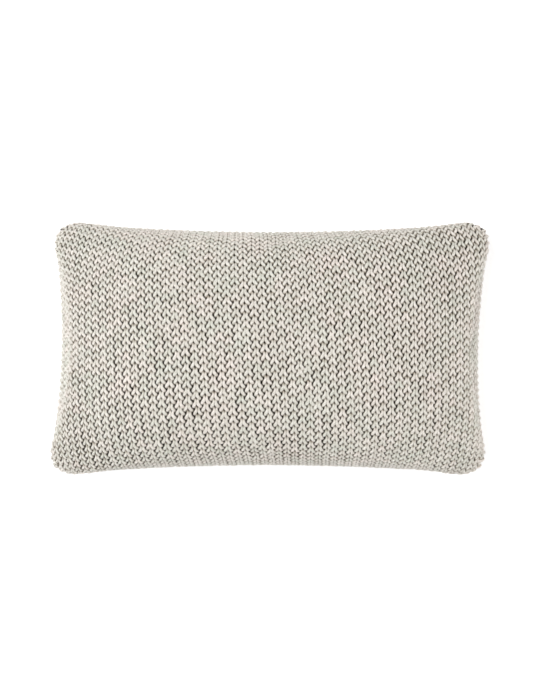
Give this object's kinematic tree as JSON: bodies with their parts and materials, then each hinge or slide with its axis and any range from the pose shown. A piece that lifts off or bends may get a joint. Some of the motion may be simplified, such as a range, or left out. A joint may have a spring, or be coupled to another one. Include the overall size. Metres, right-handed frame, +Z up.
{
  "type": "throw pillow",
  "caption": "Rectangular lumbar throw pillow in a chunky moss-stitch knitted cover, with a hidden zipper in the lower seam and a fibre-filled insert.",
  "frame": {"origin": "middle of the flat patch that the pillow rests on, centred under its outline", "axes": "+X along the pillow's length, +Y towards its top edge (away from the zipper), +Z up out of its front"},
  "size_m": [0.4976, 0.2858, 0.135],
  "materials": {
    "knit": "chunky cotton knit, undyed oatmeal",
    "ticking": "plain woven, white",
    "fibre": "loose polyester fibre, white",
    "thread": "spun polyester sewing thread",
    "zip_tape": "woven polyester tape, beige",
    "zip_nylon": "nylon coil, satin",
    "slider_metal": "enamelled zinc, beige",
    "label": "blank satin ribbon"
  },
  "bodies": {
    "cover": {"cover_front_panel": "knit", "cover_back_panel": "knit", "cover_seam_yarn": "knit", "insert_ticking_front": "ticking", "insert_ticking_back": "ticking", "insert_fibre_fill": "fibre", "insert_seam_thread": "thread", "insert_closing_stitch": "thread", "zipper_tape_front": "zip_tape", "zipper_tape_back": "zip_tape", "zipper_stitching_front": "thread", "zipper_stitching_back": "thread", "zipper_bar_tacks": "thread", "zipper_top_stops": "slider_metal", "zipper_bottom_stop": "slider_metal", "cover_care_label": "label", "insert_label": "label", "zipper_coil_front": "zip_nylon", "zipper_coil_back": "zip_nylon"},
    "zipper_slider": {"zipper_slider_body": "slider_metal"},
    "zipper_pull": {"zipper_pull_tab": "slider_metal"}
  },
  "joints": [
    {"name": "zipper_slide", "type": "slide", "parent": "cover", "child": "zipper_slider", "axis": [-1, 0, 0], "range_m": [0, 0.366]},
    {"name": "zipper_pull_swing", "type": "hinge", "parent": "zipper_slider", "child": "zipper_pull", "pos_m": [0.183, -0.1323, 0.058], "axis": [0, 0, 1], "range_deg": [0, 170]}
  ]
}
